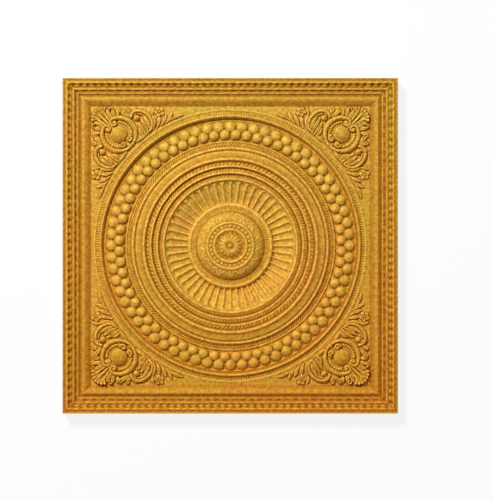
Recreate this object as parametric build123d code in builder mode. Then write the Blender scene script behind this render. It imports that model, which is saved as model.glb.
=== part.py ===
"""Square moulded fibre ceiling panel with a round medallion, a moulded frame and four corner ornaments.

Units are millimetres. The panel lies flat with its face up, +Z out of the face. The origin is the
centre of the plane that the edge skirt stands on, and the straight sides run along X and Y.
"""
import os
from math import radians

from build123d import *

os.makedirs("parts", exist_ok=True)

# Panel
panel_side = 600.0
wall = 4.0
back_clearance = 1.8

# Frame moulding: widths from the outer edge inwards, and drops below the face before them
rim_width = 7.5
leaf_slope_width = 9.5
leaf_slope_drop = 5.0
ledge_width = 3.0
cove_width = 4.5
cove_drop = 3.5
lip_width = 3.5
quirk_width = 2.0
quirk_drop = 2.0
torus_width = 19.8
torus_bulge = 5.0

# Field between the frame and the medallion
field_drop = 13.0
ring_gap = 3.2

# Medallion: widths from its outer edge inwards, with rises and drops from each point to the next
ring_flat_width = 7.6
crest_width = 6.2
crest_rise = 5.0
ring_slope_width = 6.4
channel_width = 36.6
channel_drop = 18.0
rope_slope_width = 11.4
rope_slope_rise = 3.6
band_fillet_width = 1.8
band_fillet_rise = 3.2
plain_band_width = 17.4
plain_band_rise = 2.3
nosing_width = 3.0
nosing_rise = 1.8
step_widths = (13.2, 12.2, 11.2)
step_drop = 2.9
riser_width = 7.6
riser_drop = 5.6
shoulder_lip_width = 3.0
shoulder_lip_drop = 3.2
valley_drop = 30.2

# Beads in the channel, two staggered rows
bead_count = 64
bead_radius = 9.6
bead_height = 8.6
bead_taper = 24.0
bead_margin = 0.6
bead_sides = 6
bead_sink = 1.0

# Flutes on the shoulder
flute_count = 48
flute_share = 0.74
flute_depth = 2.0
flute_margin = 0.8

# Boss in the middle: widths inwards from the valley, with rises and drops from each point to the next
boss_edge_width = 2.0
boss_edge_rise = 4.0
boss_ring_width = 14.0
boss_ring_rise = 0.8
dome_side_width = 5.7
dome_side_rise = 6.4
dome_top_width = 9.3
dome_top_rise = 5.0
collar_fillet_width = 2.6
collar_fillet_rise = 1.8
collar_width = 12.2
collar_rise = 0.6
groove_width = 5.0
groove_drop = 2.3
rosette_width = 12.4
rosette_rise = 5.5
eye_width = 6.6
eye_drop = 2.0
button_radius = 6.4
button_rise = 4.4
boss_back_drop = 12.0

# Corner ornament: a cabochon in two C-scrolls, a plume, a shell and side scrolls
cabochon_radius = 15.0
cabochon_height = 9.0
cabochon_sides = 10
cabochon_side_taper = 25.0
cabochon_top_taper = 58.0
scroll_radius = 29.5
scroll_width = 6.4
scroll_height = 6.5
scroll_start = 52.0
scroll_sweep = 88.0
scroll_clearance = 3.0
volute_radius = 4.6
volute_height = 7.0
volute_taper = 20.0
outer_volute_reach = 20.0
outer_volute_angle = 28.0
inner_volute_reach = 20.2
inner_volute_angle = 159.0
volute_sides = 5
plume_length = 22.0
plume_width = 6.0
plume_height = 4.5
plume_spread = 15.0
shell_reach = 40.0
shell_radius = 22.0
shell_notch = 3.0
shell_lobes = 7
shell_spread = 140.0
shell_height = 7.0
side_scroll_reach = -13.0
side_scroll_offset = 46.0
side_scroll_radius = 17.0
side_scroll_width = 4.6
side_scroll_height = 5.0
side_scroll_start = -24.0
side_scroll_sweep = 170.0
side_volute_reach = -2.5
side_volute_offset = 42.0
leaf_height = 4.5
leaf_widest = 0.45
frame_leaf = ((6.0, 38.0), (34.0, 31.0), 5.5)
acanthus_leaf = ((-34.0, 36.0), (-9.0, 46.0), 6.0)
spray_leaf = ((-31.0, 54.0), (-54.0, 106.0), 5.0)
ornament_sink = 1.0

# Levels above the skirt's foot
rim_z = valley_drop + wall + back_clearance
field_z = rim_z - field_drop
ledge_z = rim_z - leaf_slope_drop
lip_z = ledge_z - cove_drop
quirk_z = lip_z - quirk_drop
channel_z = rim_z - channel_drop
valley_z = rim_z - valley_drop

# Distances from the outer edge across the frame
leaf_end = rim_width + leaf_slope_width
ledge_end = leaf_end + ledge_width
cove_end = ledge_end + cove_width
lip_end = cove_end + lip_width
quirk_end = lip_end + quirk_width
frame_width = quirk_end + torus_width

# Half sides and radii
half_side = panel_side / 2
field_half = half_side - frame_width
ring_r = field_half - ring_gap


# Points of a profile that runs inwards, each given as a width and a rise from the one before
def walk(start, moves):
    points = [start]
    for width, rise in moves:
        last_r, last_z = points[-1]
        points.append((last_r - width, last_z + rise))
    return points


# Front profile of the medallion, from its outer edge to the middle of the boss
ring_points = walk((ring_r, field_z), ((ring_flat_width, 0), (crest_width, crest_rise)))
crest_r = ring_points[-1][0]
channel_r = crest_r - ring_slope_width
band_start = (channel_r - channel_width, channel_z)
band_points = walk(band_start, (
    (rope_slope_width, rope_slope_rise),
    (band_fillet_width, band_fillet_rise),
    (plain_band_width, plain_band_rise),
    (nosing_width, nosing_rise),
))
steps_r, steps_z = band_points[-1]
step_points = [band_points[-1]]
for step_width in step_widths:
    step_points += walk(step_points[-1], (
        (riser_width, -riser_drop),
        (step_width - riser_width, riser_drop - step_drop),
    ))[1:]
shoulder_r = step_points[-1][0] - shoulder_lip_width
shoulder_z = step_points[-1][1] - shoulder_lip_drop
boss_moves = (
    (boss_edge_width, boss_edge_rise),
    (boss_ring_width, boss_ring_rise),
    (dome_side_width, dome_side_rise),
    (dome_top_width, dome_top_rise),
    (collar_fillet_width, collar_fillet_rise),
    (collar_width, collar_rise),
    (groove_width, -groove_drop),
    (rosette_width, rosette_rise),
    (eye_width, -eye_drop),
    (button_radius, button_rise),
)
boss_radius = sum(width for width, rise in boss_moves)
boss_points = walk((boss_radius, valley_z), boss_moves)
dome_r = boss_points[2][0]
rosette_r = boss_points[7][0]
boss_top_z = boss_points[-1][1]


# One side of the frame moulding with its skirt, mitred at both ends
side_plane = Plane(origin=(0, -half_side, 0), x_dir=(0, 1, 0), z_dir=(1, 0, 0))
with BuildPart() as frame_side:
    with BuildSketch(side_plane):
        with BuildLine():
            Polyline(
                (0, 0),
                (0, rim_z),
                (rim_width, rim_z),
                (leaf_end, ledge_z),
                (ledge_end, ledge_z),
                (cove_end, lip_z),
                (lip_end, lip_z),
                (lip_end, quirk_z),
                (quirk_end, quirk_z),
            )
            SagittaArc((quirk_end, quirk_z), (frame_width, field_z), torus_bulge)
            Polyline(
                (frame_width, field_z),
                (frame_width, field_z - wall),
                (ledge_end, field_z - wall),
                (rim_width, rim_z - wall),
                (wall, rim_z - wall),
                (wall, 0),
                (0, 0),
            )
        make_face()
    extrude(amount=half_side, both=True)
    split(bisect_by=Plane(origin=(0, 0, 0), z_dir=(1, -1, 0)), keep=Keep.TOP)
    split(bisect_by=Plane(origin=(0, 0, 0), z_dir=(-1, -1, 0)), keep=Keep.TOP)


# The medallion's shell, turned from its outer edge to the middle of the boss
with BuildPart() as medallion:
    with BuildSketch(Plane.XZ):
        with BuildLine():
            Polyline(
                (ring_r, field_z - wall),
                *ring_points,
                (channel_r, channel_z),
                *band_points,
                *step_points[1:],
                (shoulder_r, shoulder_z),
                *boss_points,
                (0, boss_top_z - boss_back_drop),
                (rosette_r, boss_top_z - boss_back_drop),
                (dome_r, valley_z - wall),
                (boss_radius + wall, valley_z - wall),
                (steps_r + wall, steps_z - 2 * wall),
                (band_points[1][0] + wall, channel_z - wall),
                (channel_r + wall / 2, channel_z - wall),
                (crest_r + wall / 2, field_z - wall),
                close=True,
            )
        make_face()
    revolve(axis=Axis.Z)


# One bead, a low faceted dome
with BuildPart() as bead:
    with BuildSketch(Plane.XY.offset(-bead_sink)):
        RegularPolygon(radius=bead_radius, side_count=bead_sides)
    extrude(amount=bead_height + bead_sink, taper=bead_taper)


# One flute: a tapering hollow whose floor follows the shoulder
flute_angle = flute_share * 180 / flute_count
flute_end_r = shoulder_r - flute_margin
flute_half = flute_end_r * radians(flute_angle)
flute_foot_r = boss_radius + flute_margin
flute_foot = Vector(flute_foot_r, 0)
flute_end = Vector(flute_end_r, 0)
with BuildPart() as flute:
    with BuildSketch(Plane.XY):
        with BuildLine():
            Polyline(
                flute_end.rotate(Axis.Z, flute_angle),
                flute_foot.rotate(Axis.Z, flute_angle),
                flute_foot.rotate(Axis.Z, -flute_angle),
                flute_end.rotate(Axis.Z, -flute_angle),
            )
            CenterArc((0, 0), flute_end_r, -flute_angle, 2 * flute_angle)
        make_face()
    extrude(amount=rim_z)
    with BuildSketch(Plane.XZ):
        with BuildLine():
            Polyline(
                (shoulder_r, shoulder_z - flute_depth),
                (boss_radius, valley_z),
                (boss_radius, rim_z),
                (shoulder_r, rim_z),
                close=True,
            )
        make_face()
    extrude(amount=flute_half, both=True, mode=Mode.INTERSECT)


# Outline of the shell: lobes fanned evenly about +X with a notch between them, closed at its hinge
lobe_angle = shell_spread / shell_lobes
shell_outline = [Vector(0, 0)]
for lobe in range(shell_lobes):
    lobe_start = (lobe - shell_lobes / 2) * lobe_angle
    shell_outline.append(Vector(shell_radius - shell_notch, 0).rotate(Axis.Z, lobe_start))
    shell_outline.append(Vector(shell_radius, 0).rotate(Axis.Z, lobe_start + lobe_angle / 2))
shell_outline.append(Vector(shell_radius - shell_notch, 0).rotate(Axis.Z, shell_spread / 2))


# Outline of a leaf from its root to its tip, widest part of the way along
def leaf_outline(root, tip, half):
    root, tip = Vector(*root), Vector(*tip)
    middle = root + (tip - root) * leaf_widest
    out = (tip - root).normalized().rotate(Axis.Z, 90) * half
    return root, middle - out, tip, middle + out


# Half of a corner ornament, outward along +X from the cabochon's centre, standing on the field
with BuildPart() as corner_half:
    with BuildSketch(Plane.XY.offset(-ornament_sink)):
        with BuildLine():
            CenterArc((0, 0), scroll_radius, scroll_start, scroll_sweep)
        trace(line_width=scroll_width)
    extrude(amount=scroll_height + ornament_sink)

    with BuildSketch(Plane.XY.offset(-ornament_sink)):
        with BuildLine():
            CenterArc(
                (side_scroll_reach, side_scroll_offset),
                side_scroll_radius,
                side_scroll_start,
                side_scroll_sweep,
            )
        trace(line_width=side_scroll_width)
    extrude(amount=side_scroll_height + ornament_sink)

    with BuildSketch(Plane.XY.offset(-ornament_sink)):
        with PolarLocations(outer_volute_reach, 1, start_angle=outer_volute_angle):
            RegularPolygon(volute_radius, volute_sides)
        with PolarLocations(inner_volute_reach, 1, start_angle=inner_volute_angle):
            RegularPolygon(volute_radius, volute_sides)
        with Locations((side_volute_reach, side_volute_offset)):
            RegularPolygon(volute_radius, volute_sides)
    extrude(amount=volute_height + ornament_sink, taper=volute_taper)

    for leaf in (frame_leaf, acanthus_leaf, spray_leaf):
        with BuildSketch(Plane.XY.offset(-ornament_sink)):
            Polygon(*leaf_outline(*leaf), align=None)
        extrude(amount=leaf_height + ornament_sink)


# Middle of a corner ornament: the cabochon, the plume and the shell that ends it
with BuildPart() as corner_middle:
    with BuildSketch(Plane.XY.offset(-ornament_sink)):
        RegularPolygon(cabochon_radius, cabochon_sides)
    extrude(amount=cabochon_height / 2 + ornament_sink, taper=cabochon_side_taper)
    extrude(faces().sort_by(Axis.Z)[-1], amount=cabochon_height / 2, taper=cabochon_top_taper)

    with BuildSketch(Plane.XY.offset(-ornament_sink)):
        with Locations((shell_reach, 0)):
            Polygon(*shell_outline, align=None)
    extrude(amount=shell_height + ornament_sink)

    for side in (-1, 0, 1):
        with BuildSketch(Plane.XY.offset(-ornament_sink).rotated((0, 0, side * plume_spread))):
            with Locations((cabochon_radius + plume_length / 2, 0)):
                Rectangle(plume_length, plume_width)
        extrude(amount=plume_height + ornament_sink)


# Whole ornament: the middle and its two halves
with BuildPart() as ornament:
    add(corner_middle.part)
    add(corner_half.part)
    add(mirror(corner_half.part, about=Plane.XZ, mode=Mode.PRIVATE))


# The frame moulding, four mitred sides
with BuildPart() as frame:
    with PolarLocations(0, 4):
        add(frame_side.part)


# The panel: frame, field, medallion and ornaments moulded as one piece
corner_reach = ring_r + scroll_radius + scroll_width / 2 + scroll_clearance
outer_row = PolarLocations(channel_r - bead_margin - bead_radius, bead_count)
inner_row_r = band_start[0] + bead_margin + bead_radius
inner_row = PolarLocations(inner_row_r, bead_count, start_angle=180 / bead_count)
with BuildPart() as panel:
    with BuildSketch(Plane.XY.offset(field_z - wall)):
        Rectangle(2 * field_half, 2 * field_half)
        Circle(ring_r, mode=Mode.SUBTRACT)
    extrude(amount=wall)
    add(medallion.part)
    add(frame.part)
    with PolarLocations(0, flute_count):
        add(flute.part, mode=Mode.SUBTRACT, clean=False)
    with PolarLocations(corner_reach, 4, start_angle=45):
        with Locations((0, 0, field_z)):
            add(ornament.part, clean=False)
    with Locations(*outer_row, *inner_row):
        with Locations((0, 0, channel_z)):
            add(bead.part, clean=False)

panel.part.label = "ceiling_panel"
export_step(panel.part, "parts/ceiling_panel.step")
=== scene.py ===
"""A square moulded ceiling panel in gold paint, lying face up, with all its fine relief as modelled mesh.

The CAD solid gives the box and the main levels. The shell is made again here with its carving: leaf and
bead mouldings on the frame, rope bands, round beads, steps, flutes, a rosette and scrolled corners.
Sizes are in millimetres, and become metres where a mesh is made. Heights are above the foot of the
skirt, distances across the frame run inwards from the panel's edge, and sections are given through
their ridges and hollows.
"""

from math import cos, pi, radians, sin

import bpy
import numpy as np
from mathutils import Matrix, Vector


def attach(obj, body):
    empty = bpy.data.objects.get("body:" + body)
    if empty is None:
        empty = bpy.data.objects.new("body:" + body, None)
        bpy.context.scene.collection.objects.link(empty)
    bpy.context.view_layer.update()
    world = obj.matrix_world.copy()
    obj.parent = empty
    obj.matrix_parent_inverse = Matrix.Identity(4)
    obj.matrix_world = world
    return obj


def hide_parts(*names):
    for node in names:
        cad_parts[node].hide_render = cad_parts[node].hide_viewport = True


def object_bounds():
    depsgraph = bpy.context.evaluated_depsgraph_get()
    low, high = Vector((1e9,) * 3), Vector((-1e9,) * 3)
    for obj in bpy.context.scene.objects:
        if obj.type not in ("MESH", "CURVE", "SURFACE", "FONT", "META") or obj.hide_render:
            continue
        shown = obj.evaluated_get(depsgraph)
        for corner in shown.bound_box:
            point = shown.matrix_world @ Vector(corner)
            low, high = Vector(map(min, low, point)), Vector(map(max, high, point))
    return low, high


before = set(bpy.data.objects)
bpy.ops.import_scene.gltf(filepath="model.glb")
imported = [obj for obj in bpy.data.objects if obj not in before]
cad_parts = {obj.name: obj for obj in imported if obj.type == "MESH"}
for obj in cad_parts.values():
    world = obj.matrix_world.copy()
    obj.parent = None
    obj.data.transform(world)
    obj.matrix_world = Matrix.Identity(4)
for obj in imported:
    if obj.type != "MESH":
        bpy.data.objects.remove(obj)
cad_low, cad_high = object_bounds()

MM = 0.001
NODE = "ceiling_panel"

# Panel, from the CAD's box
half_side = cad_high.x / MM
rim_z = cad_high.z / MM
wall = 4.0
field_z = rim_z - 13.0
channel_z = rim_z - 18.0
band_foot_z = channel_z + 0.9
valley_z = rim_z - 30.2

# Frame, as distances from its outer edge
rim_end = 8.0
leaf_end = 16.6
ledge_d = 19.6
reel_d = 23.3
lip_d = 26.8
quirk_d = 29.8
cushion_d = 36.2
frame_width = 49.8
ledge_z = rim_z - 4.9
lip_z = rim_z - 8.0
quirk_z = rim_z - 10.7
cushion_z = rim_z - 7.0
frame_section = (
    (0.0, rim_z - 1.0), (1.2, rim_z - 0.7), (3.8, rim_z - 1.8), (rim_end, rim_z), (12.4, ledge_z + 0.3),
    (leaf_end, ledge_z - 1.0), (ledge_d, ledge_z), (reel_d, lip_z - 2.2), (lip_d, lip_z),
    (quirk_d, quirk_z), (cushion_d, cushion_z), (frame_width + 3.2, field_z - 0.7),
)
leaves_per_side = 46
leaf_relief = 2.6
reels_per_side = 38
reel_radius = 1.9

# Radii of the medallion
field_half = half_side - frame_width
ring_r = field_half - 3.2
band_r = 190.2
shoulder_r = 117.0
boss_r = 76.2

# Sections of the medallion, as the radius and height of each ridge and hollow
ring_section = (
    (ring_r, field_z), (243.8, 23.8), (240.4, 21.3), (237.2, 21.8), (232.2, 28.3), (227.4, 17.8),
    (225.0, 18.9), (222.8, channel_z - 0.8), (band_r, band_foot_z),
)
shoulder_lip = ((119.8, 20.5), (115.0, 15.6))
band_section = (
    (band_r, band_foot_z), (187.2, 21.0), (184.4, 19.0), (181.0, 19.1), (174.8, 25.7), (171.2, 23.3),
    (168.8, 25.6), (160.4, 26.2), (155.2, 29.0), (149.8, 22.8), (147.6, 22.9), (142.4, 26.0),
    (139.0, 19.8), (137.2, 19.9), (130.8, 23.0), (127.2, 17.0), (126.0, 17.1), *shoulder_lip,
)
boss_edge = ((79.0, valley_z + 0.6), (73.6, 10.3))
boss_section = (
    *boss_edge, (66.6, 8.0), (62.8, 9.8), (61.2, 10.2), (45.4, 10.2), (41.4, 12.8), (37.2, 10.6),
    (33.6, 10.6), (29.2, 13.4), (24.8, 10.6), (11.6, 17.2), (4.8, 13.8), (0.0, 18.0),
)

# Ropes and rows of pearls, as radius, number, half width, height and lean
outer_rope = (238.4, 336, 4.2, 1.6, 0.0)
slope_rope = (181.8, 208, 3.6, 2.1, 1.0)
step_pearls = ((147.8, 128, 2.6, 1.7, 0.6), (136.8, 160, 2.6, 1.7, 0.6), (125.4, 192, 2.6, 1.7, 0.6))
boss_pearls = (66.8, 96, 3.0, 1.7, 0.5)

# Beads, as radius of the row, size, height and share of a turn, and the bed that they lie on
bead_count = 64
bead_rows = ((213.8, 10.4, 8.0, 0.0), (199.9, 9.7, 8.8, 0.5))
bead_bed = (206.4, 16.2, 0.8)

# Flutes on the shoulder
flute_count = 48
flute_rib = 1.5
flute_depth = 4.0
flute_margin = 1.2

# Dome, collar and rosette of the boss
dome_r = 45.0
dome_width = 16.2
dome_height = 12.0
dome_leaves = 16
leaf_foot_r = 57.4
leaf_tip_r = 45.8
collar_count = 28
collar_r = 35.4
collar_bead = 2.9
petal_count = 16

# Corner ornaments, centred on the diagonals
corner_reach = 282.7

# Heights of the back under the foot of the shoulder and under the boss
foot_z = 10.5
boss_back_z = 18.0

# Columns of the grids, along one side of the frame and round each ring, and rows of a corner
frame_columns = 400
ring_columns = 1344
band_columns = 1248
shoulder_columns = 960
boss_columns = 576
corner_rows = 104

# Glaze with painted shade of each piece, darker in hollows and lighter on ridges as a painted highlight: its
# strength in small hollows, how much darker the flat ground is, and the share of broad hollows, which is
# below 0 on the corners, where the brown stays on the carving
frame_glaze_and_shade = (0.75, 0.07, 0.2)
ring_glaze_and_shade = (0.55, -0.06, 0.15)
band_glaze_and_shade = (1.0, 0.0, 0.2)
shoulder_glaze_and_shade = (0.5, -0.15, 0.2)
boss_glaze_and_shade = (0.9, -0.05, 0.2)
corner_glaze_and_shade = (0.95, -0.04, -0.2)


# Rows of a section: each run is a start, a stop and a number of steps
def stations(*runs):
    parts = [np.linspace(start, stop, steps, endpoint=False) for start, stop, steps in runs]
    return np.concatenate(parts + [[runs[-1][1]]])


# Cross section of a rounded moulding, 1 at its centre and 0 at both edges
def rounded(x, centre, half):
    t = np.clip((x - centre) / half, -1.0, 1.0)
    return np.sqrt(1.0 - t * t)


def ease(x, start, stop):
    t = np.clip((x - start) / (stop - start), 0.0, 1.0)
    return t * t * (3.0 - 2.0 * t)


# Smooth section through ridges and hollows, each given as a place and a height
def section(x, *points):
    places, heights = np.array(sorted(points)).T
    k = np.clip(np.searchsorted(places, x) - 1, 0, len(places) - 2)
    return heights[k] + ease(x, places[k], places[k + 1]) * (heights[k + 1] - heights[k])


# Share of a repeat, from -0.5 to 0.5
def repeat(x, length, offset=0.0):
    return (x / length + offset + 0.5) % 1.0 - 0.5


# Row of bars round a ring, straight or slanted by a lean
def rope(r, angle, row):
    radius, count, half, height, lean = row
    turn = repeat(angle + lean * (r - radius) / radius, 2 * pi / count)
    return height * rounded(r, radius, half) * rounded(turn, 0.0, 0.46)


# Slanted, S-shaped leaves along the frame, mirrored at the middle of each side
def leaf_carving(d, x):
    share = np.clip((d - rim_end) / (leaf_end - rim_end), 0.0, 1.0)
    length = 2 * half_side / leaves_per_side
    slant = 0.55 * (share - 0.5) + 0.16 * np.sin(2 * pi * share)
    stroke = rounded(repeat(np.abs(x) / length + slant, 1.0), 0.0, 0.36)
    inside = ease(share, 0.02, 0.16) * ease(share, 0.98, 0.86)
    return leaf_relief * (stroke - 0.6) * inside


# String of long beads with a small one between each two
def bead_and_reel(d, x):
    place = repeat(x, 2 * half_side / reels_per_side)
    small = repeat(x, 2 * half_side / reels_per_side, 0.5)
    bead = np.maximum(rounded(place, 0.0, 0.35), 0.6 * rounded(small, 0.0, 0.08))
    return reel_radius * rounded(d, reel_d, reel_radius) * bead


def frame_height(d, x):
    base = np.maximum(section(d, *frame_section), field_z)
    return base + leaf_carving(d, x) + bead_and_reel(d, x)


# Medallion from the outer ring to the bead channel
def bead_domes(r, angle):
    height = 0.0
    for radius, size, rise, offset in bead_rows:
        turn = repeat(angle, 2 * pi / bead_count, offset) * 2 * pi / bead_count
        away = np.hypot(r * np.sin(turn), r * np.cos(turn) - radius)
        height = np.maximum(height, rise * rounded(away, 0.0, size) ** 1.1)
    return height


def ring_height(r, angle):
    bed_r, bed_half, bed_rise = bead_bed
    base = section(r, *ring_section) + bed_rise * rounded(r, bed_r, bed_half)
    return base + rope(r, angle, outer_rope) + bead_domes(r, angle)


# Medallion from the slope inside the beads, over the plain band, to the three steps
def band_height(r, angle):
    base = section(r, *band_section)
    return base + sum(rope(r, angle, row) for row in (slope_rope, *step_pearls))


# Fluted shoulder that falls to the valley round the boss
def shoulder_height(r, angle):
    base = section(r, *shoulder_lip, *boss_edge)
    turn = repeat(angle, 2 * pi / flute_count, 0.5) * 2 * pi / flute_count
    across = np.abs(r * np.sin(turn))
    half = r * pi / flute_count - flute_rib / 2
    past_end = np.clip(r - (shoulder_r - flute_margin - half), 0.0, None)
    away = np.clip(np.hypot(across, past_end) / half, 0.0, 1.0)
    hollow = (1.0 - away**2.5) * ease(r, boss_r + 0.2, boss_r + 3.0)
    return base - flute_depth * hollow


# Boss: a ring of pearls, a dome with pointed leaves, a collar of beads and a rosette
def pointed_leaves(r, angle):
    leaf_share = np.abs(repeat(angle, 2 * pi / dome_leaves)) * 2
    share = np.clip((leaf_foot_r - r) / (leaf_foot_r - leaf_tip_r), 0.0, 1.0)
    edges = np.exp(-(((leaf_share - share) / 0.16) ** 2))
    ribs = 0.6 * np.exp(-((leaf_share / 0.14) ** 2)) * (share > 0.35)
    inside = ease(r, leaf_tip_r - 0.2, leaf_tip_r + 0.8) * ease(r, leaf_foot_r + 1.0, leaf_foot_r)
    return (edges + ribs - 0.4) * inside


def collar_beads(r, angle):
    turn = repeat(angle, 2 * pi / collar_count) * 2 * pi / collar_count
    away = np.hypot(r * np.sin(turn), r * np.cos(turn) - collar_r)
    return 1.4 * rounded(away, 0.0, collar_bead)


def petals(r, angle):
    petal = np.abs(repeat(angle, 2 * pi / petal_count)) * 2
    scoop = 1.3 * (1.0 - petal**2) * ease(r, 8.0, 12.0) * ease(r, 24.6, 20.0)
    notch = 2.0 * petal**4 * ease(r, 18.0, 24.0) * ease(r, 25.0, 24.4)
    return -scoop - notch


def boss_height(r, angle):
    base = section(r, *boss_section) + rope(r, angle, boss_pearls)
    dome_rise = dome_height * rounded(np.maximum(r, dome_r), dome_r, dome_width) ** 1.7
    return base + dome_rise + pointed_leaves(r, angle) + collar_beads(r, angle) + petals(r, angle)


# Corner ornament: u runs outwards along the diagonal from the cabochon's centre, v across it
def arc(centre, reach, start, stop, steps=28):
    turn = np.radians(np.linspace(start, stop, steps))
    return np.stack([centre[0] + reach[0] * np.cos(turn), centre[1] + reach[1] * np.sin(turn)], axis=1)


def spiral(centre, start_r, end_r, start, stop, steps=30):
    turn = np.radians(np.linspace(start, stop, steps))
    reach = np.linspace(start_r, end_r, steps)
    return np.stack([centre[0] + reach * np.cos(turn), centre[1] + reach * np.sin(turn)], axis=1)


def bend(root, middle, tip, steps=14):
    t = np.linspace(0.0, 1.0, steps)[:, None]
    root, middle, tip = np.array(root), np.array(middle), np.array(tip)
    return (1 - t) ** 2 * root + 2 * t * (1 - t) * middle + t**2 * tip


def dome(u, v, centre, radius, height):
    return height * rounded(np.hypot(u - centre[0], v - centre[1]), 0.0, radius)


# Distance from each point to a path as a share of the path's half width, and the place along it
def near_path(u, v, path, halves):
    best = np.full(u.shape, 9.0)
    along = np.zeros(u.shape)
    last = len(path) - 1
    for k in range(last):
        step = path[k + 1] - path[k]
        t = ((u - path[k][0]) * step[0] + (v - path[k][1]) * step[1]) / (step @ step)
        t = np.clip(t, 0.0, 1.0)
        away = np.hypot(u - path[k][0] - t * step[0], v - path[k][1] - t * step[1])
        share = away / (halves[k] + t * (halves[k + 1] - halves[k]))
        closer = share < best
        best = np.where(closer, share, best)
        along = np.where(closer, (k + t) / last, along)
    return best, along


# Rounded ridge along a path, from one half width and height to another, wider in the middle by a swell
def ridge(u, v, path, halves, heights, swell=0.0):
    t = np.linspace(0.0, 1.0, len(path))
    widths = (halves[0] + t * (halves[1] - halves[0])) * (1.0 + swell * np.sin(pi * t))
    share, along = near_path(u, v, path, widths)
    height = heights[0] + along * (heights[1] - heights[0])
    return height * np.sqrt(np.clip(1.0 - share**2, 0.0, 1.0))


# Fleshy leaf along a path: narrow at its root, round at its tip, grooved along its middle
def leaf(u, v, path, half, height):
    t = np.linspace(0.0, 1.0, len(path))
    widths = half * (0.35 + 0.65 * np.sin(pi * t**1.3))
    share, along = near_path(u, v, path, widths)
    body = np.sqrt(np.clip(1.0 - share**2, 0.0, 1.0))
    groove = 0.28 * np.exp(-((share / 0.2) ** 2)) * ease(along, 0.05, 0.3) * ease(along, 1.0, 0.7)
    return height * body * (1.0 - groove) * (0.6 + 0.4 * np.sin(pi * along**1.3))


def foliage(u, v):
    leaves = (
        # beside the plume, curling outwards
        ((21, 12), (34, 9), (47, 16), 4.8, 7.2),
        ((25, 16), (33, 17), (40, 25), 4.4, 6.6),
        # along the frame, from the plume to the side scroll
        ((25, 21), (29, 27), (34, 32), 4.2, 6.2),
        ((7, 38), (18, 32), (30, 34), 5.0, 6.0),
        ((8, 39), (17, 40), (22, 45), 4.4, 6.2),
        ((3, 41), (7, 47), (12, 54), 4.2, 5.8),
        # inside the side scroll
        ((-36, 43), (-26, 52), (-9, 54), 4.0, 6.6),
        ((-36, 39), (-23, 45), (-9, 47), 4.4, 7.4),
        ((-36, 35), (-24, 36), (-10, 40), 4.2, 6.8),
        ((-35, 31), (-27, 29), (-18, 33), 3.8, 5.8),
        # along the ring to its tip
        ((-37, 50), (-31, 61), (-20, 66), 4.0, 5.8),
        ((-40, 57), (-36, 67), (-29, 73), 4.0, 5.8),
        ((-42, 65), (-41, 75), (-35, 84), 4.0, 5.4),
        ((-45, 74), (-45, 85), (-39, 95), 3.8, 5.0),
        ((-47, 83), (-49, 95), (-56, 106), 3.4, 4.8),
        ((-19, 66), (-13, 71), (-11, 78), 3.4, 4.8),
        # along the ring under the C-scroll
        ((-30, 9), (-33, 20), (-34, 33), 3.8, 5.0),
    )
    height = np.zeros(u.shape)
    for root, middle, tip, half, top in leaves:
        height = np.maximum(height, leaf(u, v, bend(root, middle, tip), half, top))
    return height


# Flower of five petals, each with a hollow eye
def flower(u, v):
    centre = (-22.5, 80.0)
    height = dome(u, v, centre, 2.6, 5.4)
    for k in range(5):
        turn = radians(72 * k + 20)
        petal = (centre[0] + 5.8 * cos(turn), centre[1] + 5.8 * sin(turn))
        eye = 2.4 * np.exp(-(((u - petal[0]) ** 2 + (v - petal[1]) ** 2) / 1.5**2))
        height = np.maximum(height, dome(u, v, petal, 3.9, 5.6) - eye)
    return height


def scrolls(u, v):
    lines = (
        # C-scroll round the cabochon, with a volute at each end
        (arc((0, 0), (30, 30), 24, 172), (3.6, 2.8), (8.6, 6.6), 0.55),
        (spiral((20.4, 8.6), 8.4, 3.6, 40, -190), (3.4, 2.2), (8.6, 7.4), 0.0),
        (spiral((-18.0, 7.4), 5.8, 1.4, 60, 430), (2.4, 1.6), (7.6, 8.4), 0.0),
        # side scroll, with a thin line inside it
        (arc((-12.5, 45), (22, 16), -28, 190), (3.0, 2.2), (8.0, 6.0), 0.5),
        (arc((-12.5, 45), (16.4, 10.8), 30, 186), (1.5, 1.5), (5.2, 4.4), 0.0),
        # curls at the tips of the leaves
        (spiral((28.4, 33.4), 3.6, 1.6, -120, 160), (1.8, 1.2), (7.0, 6.0), 0.0),
        (spiral((19.6, 43.4), 3.6, 1.6, -150, 140), (1.8, 1.2), (7.0, 6.0), 0.0),
        (spiral((41.4, 21.6), 3.8, 1.6, -60, 230), (1.8, 1.2), (7.6, 6.6), 0.0),
    )
    height = np.zeros(u.shape)
    for path, halves, tops, swell in lines:
        height = np.maximum(height, ridge(u, v, path, halves, tops, swell))
    return height


def toothed_band(u, v):
    turn = np.degrees(np.arctan2(v, u))
    teeth = 0.55 + 0.45 * rounded(repeat(turn, 11.5), 0.0, 0.42)
    inside = ease(turn, 40, 46) * ease(turn, 152, 146)
    return 4.6 * rounded(np.hypot(u, v), 22.4, 3.0) * teeth * inside


def plume(u, v):
    ribs = (
        (bend((14, 0), (30, 0), (54, 0)), (2.0, 3.4), (6.0, 7.6)),
        (bend((16, 3.4), (30, 4.6), (49, 9)), (1.8, 3.2), (5.4, 7.0)),
    )
    height = np.zeros(u.shape)
    for path, halves, tops in ribs:
        height = np.maximum(height, ridge(u, v, path, halves, tops))
    return height


# Scallop shell that rises outwards to a sharp lip
def shell(u, v):
    hinge, lip_r, lobe_angle, spread = 40.0, 20.0, 18.0, 66.0
    reach = np.hypot(u - hinge, v)
    turn = np.degrees(np.arctan2(v, u - hinge))
    lobes = np.abs(np.cos(np.radians(turn * 180 / lobe_angle)))
    rise = 3.0 + 5.6 * np.clip(reach / lip_r, 0.0, 1.0) ** 1.6
    ribs = 2.2 * (lobes - 0.6) * ease(reach, 3.0, 9.0)
    inside = ease(reach - 2.2 * lobes, lip_r, lip_r - 1.2) * ease(np.abs(turn), spread, spread - 6.0)
    return (rise + ribs) * inside


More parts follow.
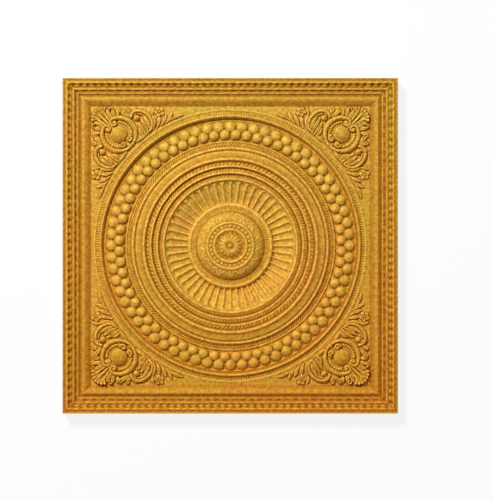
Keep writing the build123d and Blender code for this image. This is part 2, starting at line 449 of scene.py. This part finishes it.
def ornament(u, v):
    v = np.abs(v)
    height = np.maximum.reduce([
        dome(u, v, (0, 0), 15.4, 10.6),
        dome(u, v, (20.4, 8.6), 4.8, 7.4),
        dome(u, v, (-18.0, 7.4), 4.2, 7.4),
        dome(u, v, (-1.6, 43.2), 5.6, 8.4),
        dome(u, v, (-29.0, 0), 4.0, 5.2),
        toothed_band(u, v),
        scrolls(u, v),
        plume(u, v),
        shell(u, v),
        foliage(u, v),
        flower(u, v),
    ])
    to_ring = np.hypot(corner_reach + u, v) - ring_r
    to_frame = field_half - (corner_reach + u + v) * cos(pi / 4)
    return height * ease(to_ring, 0.0, 1.2) * ease(to_frame, 0.0, 1.2)


# Grids of points: rows go round the closed section of the shell, columns go round the panel
def with_back(back, across):
    places, levels = np.array(back).T[:, :, None]
    return places * np.ones_like(across), levels * np.ones_like(across)


def ring_points(front, height, back, columns):
    angle = np.linspace(0.0, 2 * pi, columns, endpoint=False)[None, :]
    back_r, back_z = with_back(back, angle)
    r = np.concatenate([front[:, None] * np.ones_like(angle), back_r])
    z = np.concatenate([height(front[:, None], angle), back_z])
    return np.stack([r * np.cos(angle), r * np.sin(angle), z], axis=-1)


def frame_points(front, back, columns):
    share = np.linspace(-1.0, 1.0, columns, endpoint=False)[None, :]
    back_d, back_z = with_back(back, share)
    d = front[:, None] * np.ones_like(share)
    z = np.concatenate([frame_height(d, share * (half_side - d)), back_z])
    out = half_side - np.concatenate([d, back_d])
    along = out * share
    sides = []
    for k in range(4):
        turn = k * pi / 2
        x = out * cos(turn) - along * sin(turn)
        y = out * sin(turn) + along * cos(turn)
        sides.append(np.stack([x, y, z], axis=-1))
    return np.concatenate(sides, axis=1)


# One corner of the field, from the frame to the ring, with its ornament
def corner_points(rows, corner):
    turn = np.radians(stations((-45.0, -27.0, 10), (-27.0, 27.0, 300), (27.0, 45.0, 10)))[None, :]
    far = field_half / np.cos(pi / 4 - np.abs(turn))
    share = np.linspace(0.0, 1.0, rows)[:, None]
    reach = far + share * (ring_r - far)
    z = field_z + ornament(reach * np.cos(turn) - corner_reach, reach * np.sin(turn))
    back_reach = np.concatenate([ring_r * np.ones_like(far), far])
    reach = np.concatenate([reach, back_reach])
    z = np.concatenate([z, np.full_like(back_reach, field_z - wall)])
    turn = turn + radians(45 + 90 * corner)
    return np.stack([reach * np.cos(turn), reach * np.sin(turn), z], axis=-1)


# Corner numbers of the quads of a grid whose rows run round a closed section
def grid_quads(rows, columns, closed=True):
    column = np.arange(columns if closed else columns - 1)
    i, j = np.meshgrid(np.arange(rows), column, indexing="ij")
    below = (i + 1) % rows
    after = (j + 1) % columns
    corners = (i * columns + j, i * columns + after, below * columns + after, below * columns + j)
    return np.stack(corners, axis=-1)


# A corner piece is closed at both ends of its sweep
def corner_faces(rows, columns):
    faces = list(grid_quads(rows, columns, closed=False).reshape(-1, 4))
    faces.append([i * columns for i in range(rows)])
    faces.append([i * columns + columns - 1 for i in reversed(range(rows))])
    return faces


# The boss is closed over its middle by fans to one point above and one below, which come last
def boss_faces(front_rows, rows, columns):
    quads = grid_quads(rows, columns)
    faces = list(np.delete(quads, front_rows - 1, axis=0).reshape(-1, 4))
    inner, under = (front_rows - 1) * columns, front_rows * columns
    top, bottom = rows * columns, rows * columns + 1
    for j in range(columns):
        after = (j + 1) % columns
        faces.append([inner + j, inner + after, top])
        faces.append([under + after, under + j, bottom])
    return faces


def mesh_piece(name, points, faces, hollow):
    sizes = np.array([len(face) for face in faces])
    mesh = bpy.data.meshes.new(name)
    mesh.vertices.add(len(points))
    mesh.vertices.foreach_set("co", (points * MM).astype(np.float32).ravel())
    corners = np.concatenate([np.asarray(face, dtype=np.int32) for face in faces])
    mesh.loops.add(len(corners))
    mesh.loops.foreach_set("vertex_index", corners)
    mesh.polygons.add(len(faces))
    starts = np.concatenate([[0], np.cumsum(sizes)[:-1]]).astype(np.int32)
    mesh.polygons.foreach_set("loop_start", starts)
    mesh.update(calc_edges=True)
    mesh.validate()
    mesh.shade_smooth()
    mesh.set_sharp_from_angle(angle=radians(58))
    # How hollow each point is, which the paint turns into glaze, painted shade and a painted highlight
    layer = mesh.attributes.new("hollow", "FLOAT", "POINT")
    layer.data.foreach_set("value", hollow.astype(np.float32))
    piece = bpy.data.objects.new(name, mesh)
    bpy.context.scene.collection.objects.link(piece)
    return piece


# Height of the face as a square map, which can be smoothed over its surroundings
map_cell = 1.0
map_side = int(2 * half_side / map_cell)


def cell_of(x):
    return np.clip(((x + half_side) / map_cell).astype(int), 0, map_side - 1)


def box_blur(field, reach):
    for axis in (0, 1):
        pad = [(reach + 1, reach) if a == axis else (0, 0) for a in (0, 1)]
        total = np.cumsum(np.pad(field, pad, mode="edge"), axis=axis)
        upper = np.take(total, range(2 * reach + 1, total.shape[axis]), axis=axis)
        lower = np.take(total, range(0, total.shape[axis] - 2 * reach - 1), axis=axis)
        field = (upper - lower) / (2 * reach + 1)
    return field


def height_map(fronts):
    x, y, z = np.concatenate([front.reshape(-1, 3) for front in fronts]).T
    cell = cell_of(y) * map_side + cell_of(x)
    count = np.bincount(cell, minlength=map_side**2).reshape(map_side, map_side)
    total = np.bincount(cell, weights=z, minlength=map_side**2).reshape(map_side, map_side)
    mean = np.where(count > 0, total / np.maximum(count, 1), 0.0)
    weight = box_blur(np.minimum(count, 1.0), 2)
    filled = np.where(weight > 0.01, box_blur(mean, 2) / np.maximum(weight, 0.01), field_z)
    return np.where(count > 0, mean, filled)


# 0.5 on flat ground, towards 1 in a hollow and towards 0 on a ridge; the paint turns this into glaze and
# painted shade in the hollows and a painted highlight on the ridges
def hollow_share(points, front_rows, glaze_and_shade, near, broad):
    front = points[:front_rows]
    cell = (cell_of(front[..., 1]), cell_of(front[..., 0]))
    share = np.full(points.shape[:2], 0.5)
    strength, ground, spread = glaze_and_shade
    depth = near[cell] - front[..., 2] + spread * (broad[cell] - front[..., 2])
    share[:front_rows] = 0.5 + ground + 0.5 * strength * depth / (np.abs(depth) + 1.4)
    return share.ravel()


# Gold paint with a darker glaze and painted shade in the hollows and a painted highlight on the ridges,
# mottled, and a little warmer towards -Y
def gold_paint():
    material = bpy.data.materials.new("gold_paint")
    material.use_nodes = True
    nodes = material.node_tree.nodes
    link = material.node_tree.links.new
    shader = nodes["Principled BSDF"]
    place = nodes.new("ShaderNodeTexCoord")

    def noise(scale, detail):
        node = nodes.new("ShaderNodeTexNoise")
        node.inputs["Scale"].default_value = scale
        node.inputs["Detail"].default_value = detail
        link(place.outputs["Object"], node.inputs["Vector"])
        return node.outputs["Fac"]

    def ramp(source, *stops):
        node = nodes.new("ShaderNodeValToRGB")
        stretch = node.color_ramp.elements
        while len(stretch) < len(stops):
            stretch.new(0.5)
        for element, (position, colour) in zip(stretch, stops):
            element.position = position
            element.color = (*colour, 1.0)
        link(source, node.inputs["Fac"])
        return node.outputs["Color"]

    def tinted(first, second):
        node = nodes.new("ShaderNodeMix")
        node.data_type = "RGBA"
        node.blend_type = "MULTIPLY"
        node.inputs["Factor"].default_value = 1.0
        link(first, node.inputs["A"])
        link(second, node.inputs["B"])
        return node.outputs["Result"]

    def share_along_y():
        axes = nodes.new("ShaderNodeSeparateXYZ")
        node = nodes.new("ShaderNodeMapRange")
        node.inputs["From Min"].default_value = -half_side * MM
        node.inputs["From Max"].default_value = half_side * MM
        link(place.outputs["Object"], axes.inputs["Vector"])
        link(axes.outputs["Y"], node.inputs["Value"])
        return node.outputs["Result"]

    # Colour by how hollow the surface is: glaze and painted shade in the hollows, a painted highlight on the
    # ridges
    hollow = nodes.new("ShaderNodeAttribute")
    hollow.attribute_name = "hollow"
    glaze_and_shade = ramp(
        hollow.outputs["Fac"],
        (0.22, (0.83, 0.535, 0.098)),
        (0.44, (0.60, 0.350, 0.038)),
        (0.56, (0.51, 0.234, 0.018)),
        (0.72, (0.38, 0.134, 0.006)),
        (0.88, (0.21, 0.052, 0.002)),
    )
    warmth = ramp(share_along_y(), (0.0, (1.03, 0.87, 0.80)), (1.0, (0.98, 1.02, 1.20)))
    drift = ramp(noise(9.0, 2.0), (0.3, (0.95, 1.02, 0.85)), (0.7, (1.03, 0.96, 1.0)))
    mottle = ramp(noise(170.0, 4.0), (0.33, (0.78, 0.71, 0.59)), (0.67, (1.18, 1.21, 1.30)))
    link(tinted(tinted(tinted(glaze_and_shade, warmth), drift), mottle), shader.inputs["Base Color"])

    hammered = noise(210.0, 4.0)
    gloss = ramp(hammered, (0.3, (0.66, 0.66, 0.66)), (0.7, (0.54, 0.54, 0.54)))
    link(gloss, shader.inputs["Roughness"])
    shader.inputs["Metallic"].default_value = 0.1
    shader.inputs["Specular IOR Level"].default_value = 0.36
    shader.inputs["Specular Tint"].default_value = (1.0, 0.72, 0.30, 1.0)
    bump = nodes.new("ShaderNodeBump")
    bump.inputs["Strength"].default_value = 0.7
    bump.inputs["Distance"].default_value = 0.0018
    link(hammered, bump.inputs["Height"])
    link(bump.outputs["Normal"], shader.inputs["Normal"])
    return material


# Grid of each piece, outermost first, with its number of front rows and its glaze and painted shade
def frame_grid():
    front = stations(
        (0.0, 1.2, 1), (1.2, rim_end, 7), (rim_end, leaf_end, 10), (leaf_end, ledge_d, 4),
        (ledge_d, lip_d, 11), (lip_d, quirk_d, 4), (quirk_d, cushion_d, 6), (cushion_d, frame_width, 10),
    )
    back = (
        (frame_width, field_z - wall), (ledge_d, field_z - wall), (rim_end, rim_z - wall),
        (wall, rim_z - wall), (wall, 0.0), (0.0, 0.0),
    )
    return frame_points(front, back, frame_columns), len(front), frame_glaze_and_shade


def ring_grid():
    front = stations(
        (ring_r, 243.8, 4), (243.8, 237.2, 7), (237.2, 227.4, 10), (227.4, 222.8, 5), (222.8, band_r, 24),
    )
    back = (
        (band_r, channel_z - wall), (228.8, channel_z - wall), (235.2, field_z - wall),
        (ring_r, field_z - wall),
    )
    return ring_points(front, ring_height, back, ring_columns), len(front), ring_glaze_and_shade


def band_grid():
    front = stations(
        (band_r, 184.4, 6), (184.4, 174.8, 10), (174.8, 168.8, 6), (168.8, 160.4, 4), (160.4, 155.2, 5),
        (155.2, 142.4, 12), (142.4, 130.8, 11), (130.8, 119.8, 11), (119.8, shoulder_r, 3),
    )
    back = ((shoulder_r, foot_z), (160.6, 20.9), (182.8, channel_z - wall), (band_r, channel_z - wall))
    return ring_points(front, band_height, back, band_columns), len(front), band_glaze_and_shade


def shoulder_grid():
    front = stations((shoulder_r, 106.0, 14), (106.0, boss_r + 2.0, 14), (boss_r + 2.0, boss_r, 3))
    back = ((boss_r, valley_z - wall), (92.0, valley_z - wall), (shoulder_r, foot_z))
    return ring_points(front, shoulder_height, back, shoulder_columns), len(front), shoulder_glaze_and_shade


def boss_grid():
    front = stations(
        (boss_r, 73.6, 3), (73.6, 61.0, 11), (61.0, 56.0, 6), (56.0, 45.4, 10), (45.4, 35.4, 10),
        (35.4, 24.8, 11), (24.8, 11.6, 11), (11.6, 4.8, 6), (4.8, 0.8, 5),
    )
    back = ((0.8, boss_back_z), (25.4, boss_back_z), (60.2, valley_z - wall), (boss_r, valley_z - wall))
    return ring_points(front, boss_height, back, boss_columns), len(front), boss_glaze_and_shade


def shell_grids():
    grids = {
        "frame_moulding": frame_grid(),
        "bead_ring": ring_grid(),
        "stepped_rings": band_grid(),
        "fluted_shoulder": shoulder_grid(),
        "centre_boss": boss_grid(),
    }
    for corner in range(4):
        grids[f"corner_field_{corner + 1}"] = (corner_points(corner_rows, corner), corner_rows, corner_glaze_and_shade)
    return grids


def build_shell():
    grids = shell_grids()
    face_map = height_map([points[:front_rows] for points, front_rows, _ in grids.values()])
    near_map = box_blur(box_blur(face_map, 1), 2)
    broad_map = box_blur(box_blur(face_map, 5), 5)
    paint = gold_paint()
    for name, (points, front_rows, glaze_and_shade) in grids.items():
        rows, columns = points.shape[:2]
        hollow = hollow_share(points, front_rows, glaze_and_shade, near_map, broad_map)
        vertices = points.reshape(-1, 3)
        if name.startswith("corner"):
            faces = corner_faces(rows, columns)
        elif name == "centre_boss":
            middle = [[0.0, 0.0, points[row, :, 2].mean()] for row in (front_rows - 1, front_rows)]
            vertices = np.concatenate([vertices, middle])
            hollow = np.concatenate([hollow, [hollow[(front_rows - 1) * columns], 0.5]])
            faces = boss_faces(front_rows, rows, columns)
        else:
            faces = list(grid_quads(rows, columns).reshape(-1, 4))
        piece = mesh_piece(name, vertices, faces, hollow)
        piece.data.materials.append(paint)
        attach(piece, "root")
        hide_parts(NODE)


# 1 for the rays that show a background, straight or mirrored, and 0 for those that light the panel
def showing_rays(tree):
    rays = tree.nodes.new("ShaderNodeLightPath")
    showing = rays.outputs["Is Camera Ray"]
    for kind in ("Is Glossy Ray", "Is Transmission Ray"):
        either = tree.nodes.new("ShaderNodeMath")
        either.operation = "MAXIMUM"
        tree.links.new(showing, either.inputs[0])
        tree.links.new(rays.outputs[kind], either.inputs[1])
        showing = either.outputs["Value"]
    return showing


# Matt pale floor that shows nearly white, with a faint shadow
def pale_floor():
    material = bpy.data.materials.new("pale_floor")
    material.use_nodes = True
    tree = material.node_tree
    matt = tree.nodes["Principled BSDF"]
    matt.inputs["Base Color"].default_value = (0.93, 0.93, 0.925, 1.0)
    matt.inputs["Roughness"].default_value = 0.9
    glow = tree.nodes.new("ShaderNodeEmission")
    glow.inputs["Color"].default_value = (1.0, 1.0, 1.0, 1.0)
    glow.inputs["Strength"].default_value = 1.0
    lifted = tree.nodes.new("ShaderNodeMixShader")
    lifted.inputs["Fac"].default_value = 0.86
    tree.links.new(matt.outputs["BSDF"], lifted.inputs[1])
    tree.links.new(glow.outputs["Emission"], lifted.inputs[2])
    choose = tree.nodes.new("ShaderNodeMixShader")
    tree.links.new(showing_rays(tree), choose.inputs["Fac"])
    tree.links.new(matt.outputs["BSDF"], choose.inputs[1])
    tree.links.new(lifted.outputs["Shader"], choose.inputs[2])
    tree.links.new(choose.outputs["Shader"], tree.nodes["Material Output"].inputs["Surface"])
    return material


def add_floor():
    bpy.ops.mesh.primitive_plane_add(size=30.0, location=(0.0, 0.0, -0.0002))
    floor = bpy.context.object
    floor.name = "floor"
    floor.data.materials.append(pale_floor())


# Soft key light from the upper left, with an even fill from the world
def add_light():
    elevation, azimuth = radians(52), radians(122)
    distance, key_share, fill_share = 3.6, 0.84, 0.16
    key = bpy.data.lights.new("key", "AREA")
    key.shape = "DISK"
    key.size = 0.85
    key.energy = key_share * pi**2 * distance**2 / sin(elevation)
    lamp = bpy.data.objects.new("key", key)
    lamp.location = (
        distance * cos(elevation) * cos(azimuth),
        distance * cos(elevation) * sin(azimuth),
        distance * sin(elevation),
    )
    lamp.rotation_euler = (pi / 2 - elevation, 0.0, azimuth + pi / 2)
    bpy.context.scene.collection.objects.link(lamp)

    world = bpy.data.worlds.new("studio")
    bpy.context.scene.world = world
    world.use_nodes = True
    tree = world.node_tree
    fill = tree.nodes["Background"]
    fill.inputs["Color"].default_value = (1.0, 1.0, 1.0, 1.0)
    fill.inputs["Strength"].default_value = fill_share
    backdrop = tree.nodes.new("ShaderNodeBackground")
    backdrop.inputs["Color"].default_value = (1.0, 1.0, 1.0, 1.0)
    backdrop.inputs["Strength"].default_value = 1.0
    choose = tree.nodes.new("ShaderNodeMixShader")
    tree.links.new(showing_rays(tree), choose.inputs["Fac"])
    tree.links.new(fill.outputs["Background"], choose.inputs[1])
    tree.links.new(backdrop.outputs["Background"], choose.inputs[2])
    tree.links.new(choose.outputs["Shader"], tree.nodes["World Output"].inputs["Surface"])


# Camera straight above, with the panel where the photo has it
def add_camera():
    image_width, image_height = 493, 500
    panel_pixels = 335.6
    centre_x, centre_y = 230.25, 245.75
    lens_mm, sensor_mm = 120.0, 36.0
    metres_per_pixel = 2 * half_side * MM / panel_pixels
    distance = metres_per_pixel * image_height * lens_mm / sensor_mm
    view = bpy.data.cameras.new("view")
    view.lens = lens_mm
    view.sensor_width = sensor_mm
    camera = bpy.data.objects.new("view", view)
    camera.location = (
        (image_width / 2 - centre_x) * metres_per_pixel,
        (centre_y - image_height / 2) * metres_per_pixel,
        rim_z * MM + distance,
    )
    bpy.context.scene.collection.objects.link(camera)
    bpy.context.scene.camera = camera


build_shell()
add_floor()
add_light()
add_camera()
bpy.context.scene.view_settings.view_transform = "Standard"
